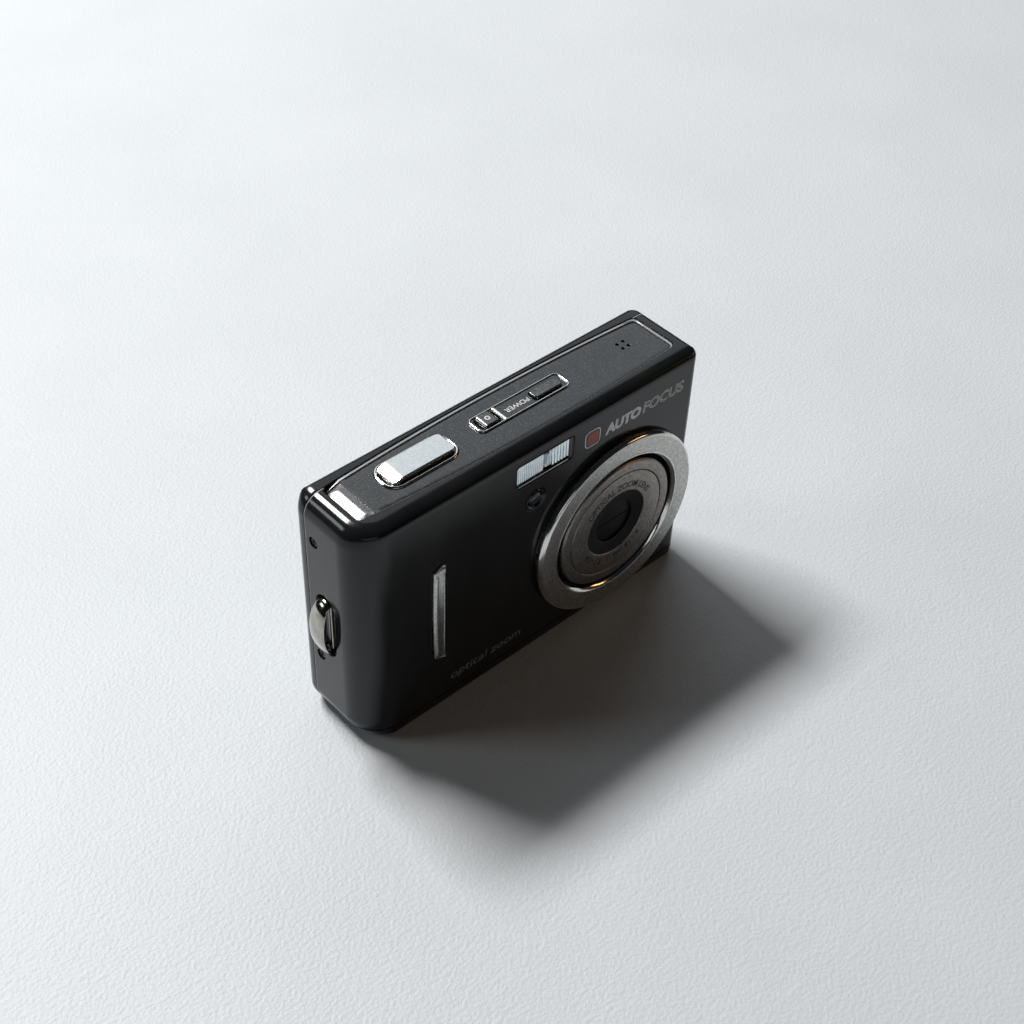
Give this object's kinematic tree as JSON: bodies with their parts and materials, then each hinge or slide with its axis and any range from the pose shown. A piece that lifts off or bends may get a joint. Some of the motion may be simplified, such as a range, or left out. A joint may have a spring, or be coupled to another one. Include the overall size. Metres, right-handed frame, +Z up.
{
  "type": "compact digital camera",
  "caption": "Compact digital camera with gloss black casing, silver lens ring, telescoping zoom lens, top buttons and rear screen.",
  "frame": {"origin": "centre of the body's footprint on its flat base", "axes": "+Z up from the base, -Y out of the lens, +X towards the lens side of the front"},
  "size_m": [0.094, 0.0222, 0.0612],
  "materials": {
    "gloss_black": "polished black moulded plastic",
    "gunmetal": "satin dark grey with a fine speckle",
    "satin_silver": "fine bead-blasted silver",
    "warm_silver": "satin anodised, slightly warm grey",
    "chrome": "bright plated",
    "matt_black": "fine matt black",
    "clear_glass": "clear moulded window",
    "dark_glass": "tinted clear window",
    "steel": "plain pressed steel",
    "circuit_board": "green solder mask",
    "battery_label": "dark grey wrap",
    "card_plastic": "dark blue plastic"
  },
  "bodies": {
    "root": {"front_cover": "gloss_black", "rear_cover": "gloss_black", "bottom_plate": "gloss_black", "top_plate": "gunmetal", "grip_bar": "satin_silver", "strap_lug": "chrome", "flash_window": "clear_glass", "af_lamp_window": "dark_glass", "lcd_window": "dark_glass", "shutter_bezel": "chrome", "control_bezel": "chrome", "lens_ring": "satin_silver", "lens_housing": "matt_black", "image_sensor": "dark_glass", "zoom_motor": "steel", "chassis": "steel", "main_board": "circuit_board", "processor_chip": "matt_black", "lcd_module": "steel", "key_board": "circuit_board", "top_board": "circuit_board", "battery_case": "matt_black", "battery": "battery_label", "battery_contacts": "matt_black", "card_socket": "steel", "memory_card": "card_plastic", "flash_capacitor": "matt_black", "flash_reflector": "chrome", "flash_tube": "clear_glass", "tripod_bush": "steel", "usb_socket": "steel", "speaker": "matt_black", "side_screw_left_upper": "steel", "side_screw_left_lower": "steel", "side_screw_right_upper": "steel", "side_screw_right_lower": "steel", "base_screw_middle": "steel", "base_screw_front": "steel", "base_screw_back": "steel"},
    "outer_barrel": {"outer_barrel": "warm_silver"},
    "inner_barrel": {"inner_barrel": "warm_silver", "barrier_cone": "matt_black", "lens_holder": "matt_black", "front_lens": "clear_glass"},
    "blade_upper": {"shutter_blade_upper": "matt_black"},
    "blade_lower": {"shutter_blade_lower": "matt_black"},
    "shutter_button": {"shutter_button": "satin_silver"},
    "mode_button": {"mode_button": "gunmetal"},
    "power_button": {"power_button": "gunmetal"},
    "zoom_rocker": {"zoom_rocker": "satin_silver"},
    "battery_door": {"battery_door": "gloss_black"},
    "door_latch": {"door_latch": "matt_black"},
    "usb_port_cover": {"usb_port_cover": "matt_black"},
    "up_key": {"up_key": "satin_silver"},
    "down_key": {"down_key": "satin_silver"},
    "left_key": {"left_key": "satin_silver"},
    "right_key": {"right_key": "satin_silver"},
    "ok_button": {"ok_button": "satin_silver"},
    "menu_button": {"menu_button": "satin_silver"},
    "playback_button": {"playback_button": "satin_silver"}
  },
  "joints": [
    {"name": "lens_extend", "type": "slide", "parent": "root", "child": "outer_barrel", "axis": [0, -1, 0], "range_m": [0, 0.008]},
    {"name": "inner_barrel_extend", "type": "slide", "parent": "outer_barrel", "child": "inner_barrel", "axis": [0, -1, 0], "range_m": [0, 0.008]},
    {"name": "blade_upper_open", "type": "hinge", "parent": "inner_barrel", "child": "blade_upper", "pos_m": [0.0125, -0.00995, 0.0252], "axis": [0, -1, 0], "range_deg": [0, 33.5]},
    {"name": "blade_lower_open", "type": "hinge", "parent": "inner_barrel", "child": "blade_lower", "pos_m": [0.0125, -0.00995, 0.0238], "axis": [0, 1, 0], "range_deg": [0, 33.5]},
    {"name": "shutter_button_press", "type": "slide", "parent": "root", "child": "shutter_button", "axis": [0, 0, -1], "range_m": [0, 0.0006], "stiffness_N_per_m": 300},
    {"name": "mode_button_press", "type": "slide", "parent": "root", "child": "mode_button", "axis": [0, 0, -1], "range_m": [0, 0.0003], "stiffness_N_per_m": 300},
    {"name": "power_button_press", "type": "slide", "parent": "root", "child": "power_button", "axis": [0, 0, -1], "range_m": [0, 0.0003], "stiffness_N_per_m": 300},
    {"name": "zoom_rocker_tilt", "type": "hinge", "parent": "root", "child": "zoom_rocker", "pos_m": [-0.032, 0.0078, 0.0504], "axis": [0, 0, 1], "range_deg": [-2.5, 2.5], "stiffness_Nm_per_rad": 0.02},
    {"name": "battery_door_hinge", "type": "hinge", "parent": "root", "child": "battery_door", "pos_m": [-0.02285, 0.0036, 0], "axis": [1, 0, 0], "range_deg": [0, 92]},
    {"name": "door_latch_slide", "type": "slide", "parent": "battery_door", "child": "door_latch", "axis": [1, 0, 0], "range_m": [0, 0.0015]},
    {"name": "usb_port_cover_hinge", "type": "hinge", "parent": "root", "child": "usb_port_cover", "pos_m": [0.0455, 0.0038, 0.044], "axis": [0, 0, 1], "range_deg": [0, 95]},
    {"name": "up_key_press", "type": "slide", "parent": "root", "child": "up_key", "axis": [0, -1, 0], "range_m": [0, 0.0003], "stiffness_N_per_m": 300},
    {"name": "down_key_press", "type": "slide", "parent": "root", "child": "down_key", "axis": [0, -1, 0], "range_m": [0, 0.0003], "stiffness_N_per_m": 300},
    {"name": "left_key_press", "type": "slide", "parent": "root", "child": "left_key", "axis": [0, -1, 0], "range_m": [0, 0.0003], "stiffness_N_per_m": 300},
    {"name": "right_key_press", "type": "slide", "parent": "root", "child": "right_key", "axis": [0, -1, 0], "range_m": [0, 0.0003], "stiffness_N_per_m": 300},
    {"name": "ok_button_press", "type": "slide", "parent": "root", "child": "ok_button", "axis": [0, -1, 0], "range_m": [0, 0.0003], "stiffness_N_per_m": 300},
    {"name": "menu_button_press", "type": "slide", "parent": "root", "child": "menu_button", "axis": [0, -1, 0], "range_m": [0, 0.0003], "stiffness_N_per_m": 300},
    {"name": "playback_button_press", "type": "slide", "parent": "root", "child": "playback_button", "axis": [0, -1, 0], "range_m": [0, 0.0003], "stiffness_N_per_m": 300}
  ],
  "couplings": [
    {"joint": "inner_barrel_extend", "follows": "lens_extend", "ratio": 1},
    {"joint": "blade_upper_open", "follows": "lens_extend", "rad_per_m": 72},
    {"joint": "blade_lower_open", "follows": "lens_extend", "rad_per_m": 72}
  ]
}
